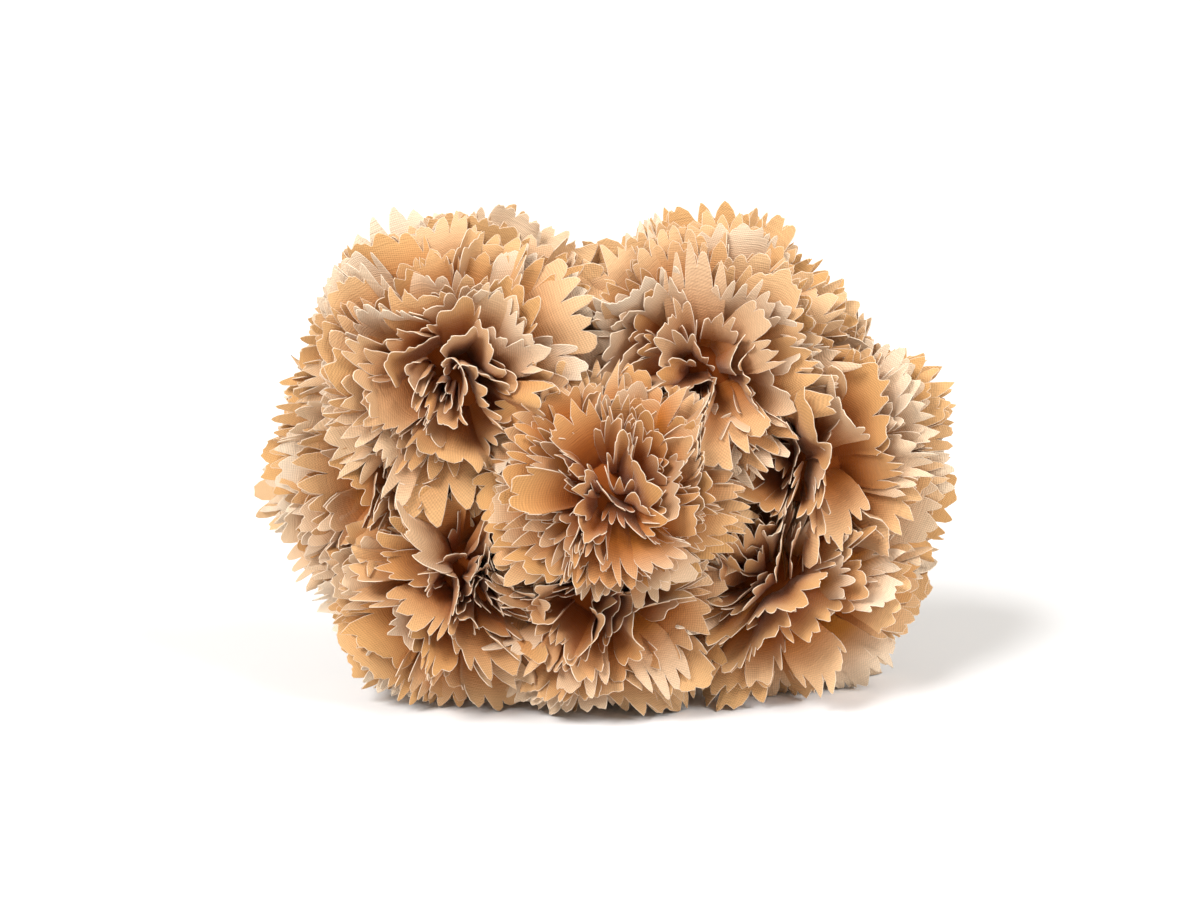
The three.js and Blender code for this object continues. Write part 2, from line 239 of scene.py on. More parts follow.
# Stage: the suns with their strengths, their widths in degrees and their headings, the colour and
# strength of the light all round, and the camera, whose shifts are pixels of the photo
SUNS = (
    ("key", 3.4, 26, (0.6, 0.6, -0.9)),
    ("fill", 2.1, 26, (-0.8, 0.5, -0.9)),
)
SKY_COLOUR = (1.0, 0.94, 0.85, 1)
SKY_STRENGTH = 0.405
FLOOR_RADIUS = 6
LENS = 85
SHIFT = (-4 / 1200, 10 / 1200)
TARGET = (0, -0.031, 0.060)
ELEVATION = math.radians(15.5)
DISTANCE = 0.737


def a_length(name, description, default):
    return FloatProperty(name=name, description=description, default=default, unit="LENGTH")


def a_colour(name, description, default):
    return FloatVectorProperty(
        name=name, description=description, default=default, subtype="COLOR", min=0, max=1)


class PetalSizes(bpy.types.PropertyGroup):
    """Sizes of the petals of every bloom"""

    root: a_length("Root", "From the calyx mouth to where a petal leaves the core", 0.0125)
    width: a_length("Width", "Width of an open petal at its rim", 0.029)
    heart_width: a_length("Heart width", "Width of a petal in the heart of a bloom", 0.0245)
    spacing: a_length("Spacing", "Mean distance between the rims of open petals", 0.0091)
    heart_spacing: a_length("Heart spacing", "Mean distance between the rims in the heart", 0.0080)
    thickness: a_length("Thickness", "Thickness of the petal cloth", 0.00022)
    tooth_width: a_length("Tooth width", "Mean width of a tooth along the rim", 0.0048)
    tooth_depth: a_length("Tooth depth", "Mean depth of the slit between two teeth", 0.0053)
    # Width of the pale strip of frayed threads and painted highlight along a rim
    fray_and_highlight_width: a_length("Fray width", "Width of the frayed line along the rim", 0.0002)
    ruffle: a_length("Ruffle", "How far neighbouring petals swing together at their rims", 0.0011)
    sway: a_length("Sway", "How far wide areas of petals swing together at their rims", 0.0012)


class StemSizes(bpy.types.PropertyGroup):
    """Sizes of the stems, their calyxes and the cord round them"""

    radius: a_length("Radius", "Radius of a stem between its nodes", 0.0018)
    swell: a_length("Swell", "How much thicker a stem is at a node", 0.00055)
    node_gap: a_length("Node gap", "Mean way from one node to the next", 0.034)
    cord_radius: a_length("Cord radius", "Radius of the cord of the tie", 0.0007)
    cord_turns: IntProperty(
        name="Cord turns", description="Turns of the cord round the stems", default=6, min=2)


class StemColours(bpy.types.PropertyGroup):
    """Colours of the stems, the calyxes and the cord"""

    stem: a_colour("Stem", "Dried stem", (0.27, 0.235, 0.10))
    node: a_colour("Node", "Paler nodes and cut ends", (0.47, 0.39, 0.21))
    calyx: a_colour("Calyx", "Dried calyx with its teeth", (0.36, 0.31, 0.14))
    cord: a_colour("Cord", "Cord of the tie", (0.50, 0.36, 0.19))


class PetalColours(bpy.types.PropertyGroup):
    """Colours of the petal cloth, with a painted highlight on its frayed rims and painted shade deep
    between the petals
    """

    tan: a_colour("Tan", "Cloth of most petals", (0.68, 0.373, 0.142))
    sand: a_colour("Sand", "Cloth of the lighter petals", (0.785, 0.512, 0.282))
    cream: a_colour("Cream", "Cloth of the palest petals", (0.85, 0.705, 0.54))
    heart: a_colour("Heart", "Browner cloth in the middle of a bloom", (0.55, 0.265, 0.08))
    # Frayed threads along the rims are pale, and a painted highlight there makes them paler
    fray_and_highlight: a_colour("Fray and highlight", "Loose threads along the cut rims", (0.87, 0.74, 0.59))
    # Painted shade, multiplied into the cloth's colour deep between the petals
    hollow_shade: a_colour("Hollow shade", "Shade of the cloth deep between the petals", (0.58, 0.265, 0.035))


def unit(vector):
    return vector / np.linalg.norm(vector)


def between(first, second, share):
    return first + (second - first) * share


def eased(value, start, end):
    """Share of the way from start to end, from 0 to 1 without a kink"""
    share = min(max((value - start) / (end - start), 0.0), 1.0)
    return share * share * (3 - 2 * share)


def direction(lean, turn):
    return np.array((math.sin(lean) * math.cos(turn), math.sin(lean) * math.sin(turn), math.cos(lean)))


def angle(first, second):
    return math.acos(min(max(first @ second, -1.0), 1.0))


class HeadFrame:
    """Middle of a calyx mouth, the axis out through the face, and the directions across it"""

    def __init__(self, head):
        self.origin = np.array(head.base)
        self.axis = unit(np.array((head.lean[0], -1.0, head.lean[1])))
        across = unit(np.cross((0.0, 0.0, 1.0), self.axis))
        self.directions = np.column_stack((across, np.cross(self.axis, across), self.axis))
        self.reach = head.reach

    def world(self, points):
        return self.origin + points @ self.directions.T

    def matrix(self):
        rotation = Matrix(self.directions.tolist()).to_4x4()
        return Matrix.Translation(Vector(self.origin)) @ rotation


class Room:
    """Space of one head between its neighbours: its ball of petals ends where it meets theirs"""

    def __init__(self, own, others):
        self.reach = own.reach
        self.borders = []
        for other in others:
            way = other.origin - own.origin
            apart = np.linalg.norm(way)
            share = (apart ** 2 + own.reach ** 2 - other.reach ** 2) / (2 * apart ** 2)
            mean_axis = unit(own.axis + other.axis)
            forward = way @ mean_axis
            gives = [(way / apart, -PLANE_GAP)]
            if forward > 0:
                gives.append((unit(way - forward * mean_axis), BEHIND_GIVE))
            for normal, give in gives:
                self.borders.append((own.directions.T @ normal, way @ normal * share + give))
        self.down = own.directions.T @ (0.0, 0.0, -1.0)
        self.height = own.origin[2] - FLOOR_GAP

    def hidden(self, way):
        """How far past a border the rim in a direction would lie, in radians"""
        lean, turn = math.acos(way[2]), math.atan2(way[1], way[0])
        deepest = -math.pi
        for normal, distance in self.borders:
            sideways = normal[0] * math.cos(turn) + normal[1] * math.sin(turn)
            share = distance / self.reach / math.hypot(sideways, normal[2])
            if sideways > 0 and share < 1:
                off_middle = abs(lean - math.atan2(sideways, normal[2]))
                deepest = max(deepest, math.acos(share) - off_middle)
        return deepest

    def shares(self, ways, give):
        """How much of its reach each direction has before a border: 1, or more along the border"""
        shares = np.ones(len(ways))
        rises = np.zeros(len(ways))
        for normal, distance in self.borders:
            share = (distance + give) / np.maximum(ways @ normal, 1e-3) / self.reach
            shares = np.minimum(shares, share)
            rises = np.maximum(rises, np.exp(-((share - 1) / RISE_ZONE) ** 2))
        floor = (self.height + FLOOR_GIVE) / np.maximum(ways @ self.down, 1e-3) / self.reach
        return np.minimum(shares * (1 + BORDER_RISE * rises), floor)

    def clear(self, points, give):
        """Points in the head's frame pressed off the borders that they pass"""
        for normal, distance in self.borders:
            past = np.maximum(points @ normal - distance - give, 0)
            points = points - past[:, None] * normal
        return points


class Swing:
    """A smooth swing through the whole bunch, so that rows which lie together swing together"""

    WAVES = 7

    def __init__(self, seed, shortest, longest):
        rng = random.Random(seed)
        self.waves = []
        for _ in range(self.WAVES):
            heading = unit(np.array([rng.gauss(0, 1) for _ in range(3)]))
            swing = unit(np.array([rng.gauss(0, 1) for _ in range(3)]))
            number = 2 * math.pi / rng.uniform(shortest, longest)
            self.waves.append((heading * number, rng.uniform(0, 2 * math.pi), swing))

    def at(self, points):
        total = np.zeros_like(points)
        for heading, phase, swing in self.waves:
            total += np.sin(points @ heading + phase)[:, None] * swing
        return total


def rim_outline(sizes, reach, half_angle, teeth, rng):
    """Flat cut of a rim: points across the petal from its left side, and their share across"""
    widths = np.array([rng.uniform(*TOOTH_WIDTHS) for _ in range(teeth)])
    edges = np.concatenate(((0.0,), np.cumsum(widths) / widths.sum())) * 2 - 1
    blunt = rng.uniform(*TOOTH_BLUNT)
    peak = rng.uniform(*TOOTH_PEAK)
    drop = rng.uniform(*RIM_DROP)
    valleys = [reach - drop * edge * edge - sizes.tooth_depth * rng.uniform(*SLIT_DEPTHS)
               for edge in edges]
    across = []
    radii = []
    for k in range(teeth):
        middle = (edges[k] + edges[k + 1]) / 2
        tip = reach - drop * middle * middle - rng.uniform(0, TIP_SHORT)
        for stop in TOOTH_STOPS:
            off = abs(2 * stop - 1)
            height = 1 - peak * off - (1 - peak) * off ** blunt
            valley = valleys[k] if stop < 0.5 else valleys[k + 1]
            across.append(edges[k] + (edges[k + 1] - edges[k]) * stop)
            radii.append(valley + (tip - valley) * height + rng.uniform(-RAGGED, RAGGED))
    across = np.array(across + [1.0])
    radii = np.array(radii + [valleys[-1]])
    turn = across * half_angle
    return across, np.column_stack((radii * np.sin(turn), radii * np.cos(turn)))


def flat_petal(sizes, reach, half_angle, teeth, rng):
    """Flat cut of a whole petal as rows of points from its root to its rim"""
    across, rim = rim_outline(sizes, reach, half_angle, teeth, rng)
    way = np.gradient(rim, axis=0)
    inward = np.column_stack((way[:, 1], -way[:, 0]))
    inward /= np.linalg.norm(inward, axis=1, keepdims=True)
    hem = rim + inward * sizes.fray_and_highlight_width
    turn = across * half_angle
    root = sizes.root * np.column_stack((np.sin(turn), np.cos(turn)))
    rows = [root + (hem - root) * share for share in PETAL_ROWS]
    return np.array(rows + [rim])


def fold(bend, pleat, waves, phase):
    """Section across a petal with a curve and a wave, for a half width of 1"""
    place = np.linspace(-1, 1, FOLD_STEPS)
    heading = bend * place + pleat * np.sin(waves * place + phase)
    step = place[1] - place[0]
    run, rise = (np.cumsum(part) * step for part in (np.cos(heading), np.sin(heading)))
    return place, run - run[len(place) // 2], rise - rise[len(place) // 2]


def petal_space(core_reach, reach, ways, drop, radius):
    """Points in the head's frame from their directions, how much lower than those they spring,
    and their radius"""
    leans = np.arccos(ways[:, 2])
    flatwise = ways[:, :2] / np.maximum(np.linalg.norm(ways[:, :2], axis=1, keepdims=True), 1e-6)
    sections = [np.column_stack((flatwise * np.sin(lean)[:, None], np.cos(lean)))
                for lean in (leans, leans + drop)]
    rim = reach[:, None] * sections[0]
    root = (sections[1] * CORE + CORE_MIDDLE) * core_reach
    length = np.linalg.norm(rim - root, axis=1)
    return rim + (root - rim) * ((reach - radius) / length)[:, None]


class Bloom:
    """All petals of one head in one mesh"""

    def __init__(self, head, sizes, others, ruffle, sway):
        self.sizes = sizes
        self.frame = HeadFrame(head)
        self.heart = np.array((*head.heart, 1.0))
        self.open_lean = math.radians(head.open_lean)
        self.room = Room(self.frame, others)
        self.rng = random.Random(head.seed)
        self.ruffle = ruffle
        self.sway = sway
        self.mesh = bmesh.new()
        self.cloth = self.mesh.verts.layers.float_vector.new("cloth")
        self.tone = self.mesh.verts.layers.float_vector.new("tone")

    def drawn(self, ranges, openness):
        """A draw from the range of the heart and one from that of open petals, mixed"""
        heart, opened = ranges
        return between(self.rng.uniform(*heart), self.rng.uniform(*opened), openness)

    def section(self, openness):
        """Bend, pleat and waves of one petal: slight where petals lie open, deep in the heart"""
        heart, opened = BENDS
        deep = self.rng.uniform(*heart) * self.rng.choice(BEND_SIDES)
        bend = between(deep, self.rng.uniform(*opened), openness)
        pleat = self.drawn(PLEATS, openness)
        return bend, pleat, math.pi * self.drawn(WAVES, openness)

    def bent(self, petal, half_angle, radius, across, along):
        """Places of a petal's points, from where they are in its flat cut"""
        place, run, rise = fold(*petal.section, self.rng.uniform(0, 2 * math.pi))
        run = np.interp(across, place, run) * half_angle
        rise = np.interp(across, place, rise) * half_angle * along
        aside = run * math.cos(petal.yaw) + rise * math.sin(petal.yaw)
        outward = run * math.sin(petal.yaw) - rise * math.cos(petal.yaw)
        outward += petal.curl * along ** CURL_POWER

        round_way = np.cross(petal.middle, petal.out_way)
        ways = petal.middle + aside[:, None] * round_way + outward[:, None] * petal.out_way
        ways /= np.linalg.norm(ways, axis=1, keepdims=True)
        give = self.rng.uniform(*BORDER_GIVES)
        shares = self.room.shares(ways, give)
        drop = LOW_DROP * eased(petal.lean, LOW_LEAN, LAST_LEAN)
        reach = self.frame.reach
        local = petal_space(reach, reach * shares, ways, drop, radius * shares)
        placed = self.frame.world(self.room.clear(local, give + PRESS_GIVE))

        ruffle = self.sizes.ruffle * between(HEART_SWING, 1, petal.openness)
        for swing, width in ((self.ruffle, ruffle), (self.sway, self.sizes.sway)):
            placed += swing.at(placed) * (width * along ** SWING_POWER)[:, None]
        placed[:, 2] = np.maximum(placed[:, 2], FLOOR_GAP)
        return placed

    def cloth_places(self, petal, cut, along):
        """Places in the weave, which is turned at will, and how far out of the hollows they are, for
        the painted shade there
        """
        bias = self.rng.uniform(0, math.pi)
        offset = self.rng.uniform(0, 1)
        x, y = cut.T
        height = between(along, 1, eased(petal.lean, LOW_LEAN, LAST_LEAN) * LOW_SHOWN)
        return np.column_stack((
            x * math.cos(bias) - y * math.sin(bias) + offset,
            x * math.sin(bias) + y * math.cos(bias),
            height,
        ))

    def add_petal(self, petal):
        """A sheet with a toothed rim, cut flat and then bent to its place"""
        sizes = self.sizes
        reach = self.frame.reach + self.rng.uniform(*REACH_MORE)
        reach -= (1 - petal.openness) * self.rng.uniform(0, HEART_SHORT)
        half_angle = petal.width / 2 / reach
        teeth = max(2, round(petal.width / sizes.tooth_width))
        flat = flat_petal(sizes, reach, half_angle, teeth, self.rng)
        rows, columns = flat.shape[:2]
        made = bmesh.ops.create_grid(
            self.mesh, x_segments=columns - 1, y_segments=rows - 1, size=1.0)["verts"]
        grid = np.array([vertex.co for vertex in made])
        column = np.rint((grid[:, 0] + 1) / 2 * (columns - 1)).astype(int)
        row = np.rint((grid[:, 1] + 1) / 2 * (rows - 1)).astype(int)
        cut = flat[row, column]

        radius = np.linalg.norm(cut, axis=1)
        across = np.arctan2(cut[:, 0], cut[:, 1]) / half_angle
        along = np.clip((radius - sizes.root) / (self.frame.reach - sizes.root), 0, FURTHEST)
        placed = self.bent(petal, half_angle, radius, across, along)
        cloth = self.cloth_places(petal, cut, along)
        heart = max(0.0, 1 - petal.lean / self.open_lean)
        # Rims, and less so the sides, get the pale fray with its painted highlight
        side = (np.abs(across) > AT_SIDE) & (row > 1)
        fray_and_highlight = np.where(row == rows - 1, 1.0, np.where(side, SIDE_FRAY_AND_HIGHLIGHT, 0.0))
        for k, vertex in enumerate(made):
            vertex.co = placed[k]
            vertex[self.cloth] = cloth[k]
            vertex[self.tone] = (petal.shade, heart, fray_and_highlight[k])

    def spiral_petal(self, lean, turn, openness):
        """A petal of the spiral, whose middle comes back from the heart to the axis as it leans"""
        width = between(self.sizes.heart_width, self.sizes.width, openness)
        width *= self.rng.uniform(*WIDTH_SHARES)
        yaw = math.radians(self.drawn(YAWS, openness))
        curl = math.radians(self.drawn(CURLS, openness))
        off_axis = (self.heart - (0, 0, 1)) * (1 - eased(lean, 0, LAST_LEAN))
        middle = unit(direction(lean, turn) + off_axis)
        out_way = np.cross(unit(np.cross(self.heart, middle)), middle)
        section = self.section(openness)
        shade = self.rng.uniform(0, 1) ** SHADE_POWER
        return Petal(middle, out_way, lean, openness, width, section, yaw, curl, shade)

    def wide_petal(self, wide):
        """A petal with its own place"""
        root, rim = (direction(math.radians(lean), math.radians(turn))
                     for lean, turn in (wide.root, wide.rim))
        out_way = unit(rim - (rim @ root) * root)
        lean = angle(unit(self.heart), root)
        section = (wide.cup, *WIDE_FOLD)
        yaw = math.radians(self.rng.uniform(*WIDE_YAW))
        return Petal(root, out_way, lean, 1.0, wide.width, section, yaw, angle(root, rim), wide.shade)

    def covers(self, petal, wide):
        """Whether a petal of the spiral would stand before the face of a wide one"""
        if not HEART_LEAN < petal.lean < wide.lean + wide.curl:
            return False
        rim = petal.middle + petal.out_way * petal.curl
        nearest = min(angle(unit(rim), unit(wide.middle + wide.out_way * wide.curl * share))
                      for share in WIDE_FACE)
        return nearest < WIDE_CLEAR * wide.width / 2 / self.frame.reach

    def add_petals(self, wide_petals):
        """The wide petals, and those of the spiral, each a golden turn on from the last"""
        rng = self.rng
        sizes = self.sizes
        wides = [self.wide_petal(wide) for wide in wide_petals]
        for wide in wides:
            self.add_petal(wide)
        lean = FIRST_LEAN
        turn = rng.uniform(0, 2 * math.pi)
        while lean < LAST_LEAN:
            openness = eased(lean, HEART_LEAN, self.open_lean)
            jitter = math.radians(between(*LEAN_JITTER, openness) * rng.uniform(-1, 1))
            own_turn = turn + rng.uniform(-TURN_JITTER, TURN_JITTER) / math.sin(lean + CALM_LEAN)
            petal = self.spiral_petal(max(FIRST_LEAN, lean + jitter), own_turn, openness)
            covers = any(self.covers(petal, wide) for wide in wides)
            if not covers and self.room.hidden(petal.middle) < PAST_BORDER:
                self.add_petal(petal)
            spacing = between(sizes.heart_spacing, sizes.spacing, openness)
            lean += (spacing / self.frame.reach) ** 2 / (2 * math.pi * math.sin(lean))
            turn += GOLDEN_TURN

    def add_core(self):
        """The egg that the petals stand out of, browner and with painted shade in front, lighter at
        its back
        """
        made = bmesh.ops.create_icosphere(self.mesh, subdivisions=3, radius=1.0)["verts"]
        ball = np.array([vertex.co for vertex in made])
        start, change = CORE_BACK
        behind = np.clip(start - ball[:, 2] * change, 0, 1)
        ball = (ball * CORE * CORE_FILLED + CORE_MIDDLE) * self.frame.reach
        placed = self.frame.world(ball)
        for k, vertex in enumerate(made):
            vertex.co = placed[k]
            vertex[self.cloth] = (ball[k, 0], ball[k, 1], behind[k] * CLAW_DEPTH)
            vertex[self.tone] = (CORE_SHADE, 1 - behind[k], 0)

    def thicken(self):
        """Every sheet becomes a closed cloth of the petals' thickness"""
        self.mesh.normal_update()
        ways = {vertex: vertex.normal.copy() for vertex in self.mesh.verts}
        bmesh.ops.extrude_face_region(self.mesh, geom=self.mesh.faces[:], use_keep_orig=True)
        for vertex, way in ways.items():
            vertex.co += way * self.sizes.thickness
        bmesh.ops.recalc_face_normals(self.mesh, faces=self.mesh.faces[:])

    def object(self, name, material):
        self.thicken()
        self.add_core()
        return finished(self.mesh, name, material)


def ring_place(point, way, side, radius):
    """Matrix of a ring round a point and across a way, and the ring's own side, near a given one"""
    third = unit(way)
    first = unit(side - (side @ third) * third)
    directions = np.column_stack((first, np.cross(third, first), third)) * radius
    return Matrix.Translation(Vector(point)) @ Matrix(directions.tolist()).to_4x4(), first


def run_lengths(points):
    """How far along a line each of its points lies"""
    return np.concatenate(((0,), np.cumsum(np.linalg.norm(np.diff(points, axis=0), axis=1))))


def first_ring(mesh, sides, filled):
    """A circle of radius 1 for a tube to grow out of, and its edges"""
    ring = bmesh.ops.create_circle(mesh, cap_ends=filled, segments=sides, radius=1)["verts"]
    return ring, list(dict.fromkeys(edge for vertex in ring for edge in vertex.link_edges))


def grown_ring(mesh, edges):
    """A ring that grows out of the edges at a tube's open end, and its own edges"""
    grown = bmesh.ops.extrude_edge_only(mesh, edges=edges)["geom"]
    ring = [part for part in grown if isinstance(part, bmesh.types.BMVert)]
    edges = [part for part in grown if isinstance(part, bmesh.types.BMEdge)
             and all(vertex in ring for vertex in part.verts)]
    return ring, edges


def sweep(mesh, points, radii, sides, layer):
    """A closed tube along points, with its turn, its way along and its radius in a layer"""
    ways = np.gradient(points, axis=0)
    side = ACROSS if abs(ways[0][0]) < abs(ways[0][2]) else np.array((0.0, 0.0, 1.0))
    ring, edges = first_ring(mesh, sides, True)
    back = Matrix.Identity(4)
    for number, length in enumerate(run_lengths(points)):
        if number:
            ring, edges = grown_ring(mesh, edges)
        place, side = ring_place(points[number], ways[number], side, radii[number])
        bmesh.ops.transform(mesh, matrix=place @ back, verts=ring)
        back = place.inverted()
        for vertex in ring:
            local = back @ vertex.co
            vertex[layer] = (math.atan2(local.y, local.x), length, radii[number])
    bmesh.ops.holes_fill(mesh, edges=edges, sides=0)


def along_bundle(along, spread, slot):
    """A place in the bundle, for a stem's slot in degrees or none for the stem in its middle"""
    ring = 0 if slot is None else STEM_RING * spread
    turn = math.radians(slot or 0)
    aside = ACROSS * math.cos(turn) + BUNDLE_UP * math.sin(turn)
    return TIE_AT + BUNDLE_WAY * along + aside * ring


def stem_route(head, axis):
    """Middle line of a stem: out of its calyx, in one bend to the bundle, and on through the tie"""
    foot = np.array(head.base) - axis * CALYX_FOOT
    before, spread = BUNDLE[0]
    knots = (
        foot,
        foot - axis * STEM_EASE,
        along_bundle(before - STEM_EASE, spread, head.slot),
        along_bundle(before, spread, head.slot),
    )
    bend = interpolate_bezier(*(Vector(knot) for knot in knots), BEND_STEPS)
    stops = np.linspace(before, BUNDLE[-1][0], BOUND_STEPS)[1:]
    spreads = np.interp(stops, [stop for stop, _ in BUNDLE], [share for _, share in BUNDLE])
    bound = [along_bundle(stop, share, head.slot) for stop, share in zip(stops, spreads)]
    return np.array([list(point) for point in bend] + bound)


class Stalk:
    """One cut stem with its nodes and the calyx that holds its bloom"""

    SEED_STEP = 500
    SIDES = 14
    NODE_LENGTH = 0.0022
    FIRST_GAP = (0.5, 0.9)
    GAPS = (0.8, 1.2)
    END_GAP = 0.012  # nodes stay that far from the cut end, and from the middle of the tie
    TIE_GAP = 0.009
    CALYX_SIDES = 40
    CALYX_PROFILE = (
        (0.0018, -0.0262), (0.0026, -0.0245), (0.0044, -0.0200), (0.0051, -0.0140),
        (0.0054, -0.0090), (0.0056, -0.0050), (0.0058, -0.0022),
    )
    TOOTH_PROFILE = ((0.0068, -0.0012), (0.0082, -0.0002), (0.0098, 0.0006))
    TEETH = 5
    NOTCH_DEPTH = 0.0035
    NOTCH_POWER = 0.7
    RIBS = 20
    RIB_HEIGHT = 0.00012

    def __init__(self, head, sizes):
        self.head = head
        self.sizes = sizes
        self.frame = HeadFrame(head)
        self.rng = random.Random(head.seed + self.SEED_STEP)
        self.mesh = bmesh.new()
        self.layer = self.mesh.verts.layers.float_vector.new("stalk")

    def nodes(self, length):
        """Where along a stem of a length its nodes are"""
        gap = self.sizes.node_gap
        tied = length - BUNDLE[-1][0]
        nodes = []
        at = gap * self.rng.uniform(*self.FIRST_GAP)
        while at < length - self.END_GAP:
            if abs(at - tied) > self.TIE_GAP:
                nodes.append(at)
            at += gap * self.rng.uniform(*self.GAPS)
        return nodes

    def add_stem(self):
        points = stem_route(self.head, self.frame.axis)
        lengths = run_lengths(points)
        nodes = self.nodes(lengths[-1])
        steps = (-self.NODE_LENGTH, 0, self.NODE_LENGTH)
        places = sorted({*lengths, *(node + step for node in nodes for step in steps)})
        route = np.column_stack([np.interp(places, lengths, points[:, k]) for k in range(3)])
        radii = np.full(len(places), self.sizes.radius)
        for node in nodes:
            radii += self.sizes.swell * np.exp(-((np.array(places) - node) / self.NODE_LENGTH) ** 2)
        sweep(self.mesh, route, radii, self.SIDES, self.layer)

    def calyx_point(self, turn, radius, height):
        """Radius and height with the ribs of the cup and the notches between its teeth"""
        rim_radius, rim_height = self.CALYX_PROFILE[-1]
        notch = abs((turn / (2 * math.pi / self.TEETH)) % 1 * 2 - 1) ** self.NOTCH_POWER
        cut = self.NOTCH_DEPTH * notch
        if height > rim_height:
            kept = 1 - notch
            return between(rim_radius, radius, kept), rim_height - cut + (height - rim_height) * kept
        rib = self.RIB_HEIGHT * math.cos(turn * self.RIBS)
        return radius + rib, height - (cut if height == rim_height else 0)

    def add_calyx(self):
        """A ribbed cup with five long teeth"""
        frame = self.frame.matrix()
        ring, first = first_ring(self.mesh, self.CALYX_SIDES, False)
        edges = first
        back = Matrix.Identity(4)
        rings = []
        for radius, height in self.CALYX_PROFILE + self.TOOTH_PROFILE:
            if rings:
                ring, edges = grown_ring(self.mesh, edges)
            place = frame @ Matrix.Translation((0, 0, height)) @ Matrix.Scale(radius, 4)
            bmesh.ops.transform(self.mesh, matrix=place @ back, verts=ring)
            back = place.inverted()
            rings.append((ring, radius, height))
        back = frame.inverted()
        for ring, radius, height in rings:
            for vertex in ring:
                local = back @ vertex.co
                turn = math.atan2(local.y, local.x)
                out, up = self.calyx_point(turn, radius, height)
                vertex.co = frame @ Vector((out * math.cos(turn), out * math.sin(turn), up))
                vertex[self.layer] = (turn, height, 1.0)
        for end in (edges, first):
            bmesh.ops.holes_fill(self.mesh, edges=end, sides=0)

    def object(self, name, material):
        return finished(self.mesh, name, material)


def wound_cord(sizes, material):
    """A cord wound round the stems, with its two ends tucked through and knotted on top"""
    mesh = bmesh.new()
    layer = mesh.verts.layers.float_vector.new("stalk")
    radius = sizes.cord_radius
    count = sizes.cord_turns
    turns = np.linspace(0, 2 * math.pi * count, CORD_STEPS * count)
    along = (turns / (2 * math.pi) - count / 2) * CORD_PITCH * radius
    mean = STEM_RING + CORD_CLEAR + radius
    aside, up = (mean * part(turns + math.pi / 2)[:, None] for part in (np.cos, np.sin))
    points = TIE_AT + along[:, None] * BUNDLE_WAY + aside * ACROSS + up * BUNDLE_UP
    sweep(mesh, points, np.full(len(points), radius), CORD_SIDES, layer)
    top = TIE_AT + BUNDLE_UP * (mean + radius * CORD_TOP)
    for side in (-1, 1):
        knots = [top + BUNDLE_WAY * side * away + BUNDLE_UP * rise + ACROSS * side * off
                 for away, rise, off in CORD_END]
        end = interpolate_bezier(*(Vector(knot) for knot in knots), END_STEPS)
        points = np.array([list(point) for point in end])
        sweep(mesh, points, np.full(END_STEPS, radius), CORD_SIDES, layer)
    return finished(mesh, "cord", material)


def finished(mesh, name, material):
    """A mesh as an object in the scene, at the origin, with smooth faces"""
    if mesh.calc_volume(signed=True) < 0:
        bmesh.ops.reverse_faces(mesh, faces=mesh.faces[:])
    for face in mesh.faces:
        face.smooth = True
    data = bpy.data.meshes.new(name)
    mesh.to_mesh(data)
    mesh.free()
    data.materials.append(material)
    piece = bpy.data.objects.new(name, data)
    bpy.context.scene.collection.objects.link(piece)
    return piece


def shader(name, **values):
    """A new material with values set on its shader, and its node tree"""
    material = bpy.data.materials.new(name)
    material.use_nodes = True
    tree = material.node_tree
    for label, value in values.items():
        tree.nodes["Principled BSDF"].inputs[label.replace("_", " ")].default_value = value
    return material, tree


def feed(tree, socket, value):
    """An input is linked to another node's output, or set"""
    if isinstance(value, bpy.types.NodeSocket):
        tree.links.new(value, socket)
    else:
        socket.default_value = value


def node(tree, kind, inputs=(), **values):
    """A new node with values of its own, and its inputs by their names"""
    made = tree.nodes.new(kind)
    for key, value in values.items():
        setattr(made, key, value)
    for label, value in dict(inputs).items():
        feed(tree, made.inputs[label], value)
    return made


def math_node(tree, operation, *inputs):
    made = node(tree, "ShaderNodeMath", operation=operation)
    for socket, value in zip(made.inputs, inputs):
        feed(tree, socket, value)
    return made.outputs[0]


def ranged(tree, value, low, high):
    """A value from 0 to 1 spread over a range"""
    return math_node(tree, "MULTIPLY_ADD", value, high - low, low)


def mixed(tree, factor, first, second, blend="MIX"):
    """First and second colour, mixed by a factor"""
    made = node(tree, "ShaderNodeMix", data_type="RGBA", blend_type=blend)
    feed(tree, made.inputs[0], factor)
    for index, colour in ((6, first), (7, second)):
        linked = isinstance(colour, bpy.types.NodeSocket)
        feed(tree, made.inputs[index], colour if linked else (*colour, 1))
    return made.outputs[2]


def dimmed(tree, colour, shade):
    """A colour multiplied by a grey"""
    grey = node(tree, "ShaderNodeCombineColor", {"Red": shade, "Green": shade, "Blue": shade})
    return mixed(tree, 1.0, colour, grey.outputs[0], "MULTIPLY")


def noise(tree, place, scale, detail=2):
    inputs = {"Vector": place, "Scale": scale, "Detail": detail}
    return node(tree, "ShaderNodeTexNoise", inputs).outputs["Fac"]


def stored(tree, name):
    """A vector that a mesh holds at its points, and its three parts"""
    vector = node(tree, "ShaderNodeAttribute", attribute_name=name).outputs["Vector"]
    return vector, node(tree, "ShaderNodeSeparateXYZ", {"Vector": vector}).outputs


def object_place(tree):
    return node(tree, "ShaderNodeTexCoord").outputs["Object"]


def cover(tree, colour, roughness, height, strength, distance):
    """A shader gets its colour, its roughness and bumps of a height"""
    bump = node(tree, "ShaderNodeBump", {"Strength": strength, "Distance": distance, "Height": height})
    inputs = {"Base Color": colour, "Roughness": roughness, "Normal": bump.outputs[0]}
    for label, value in inputs.items():
        feed(tree, tree.nodes["Principled BSDF"].inputs[label], value)


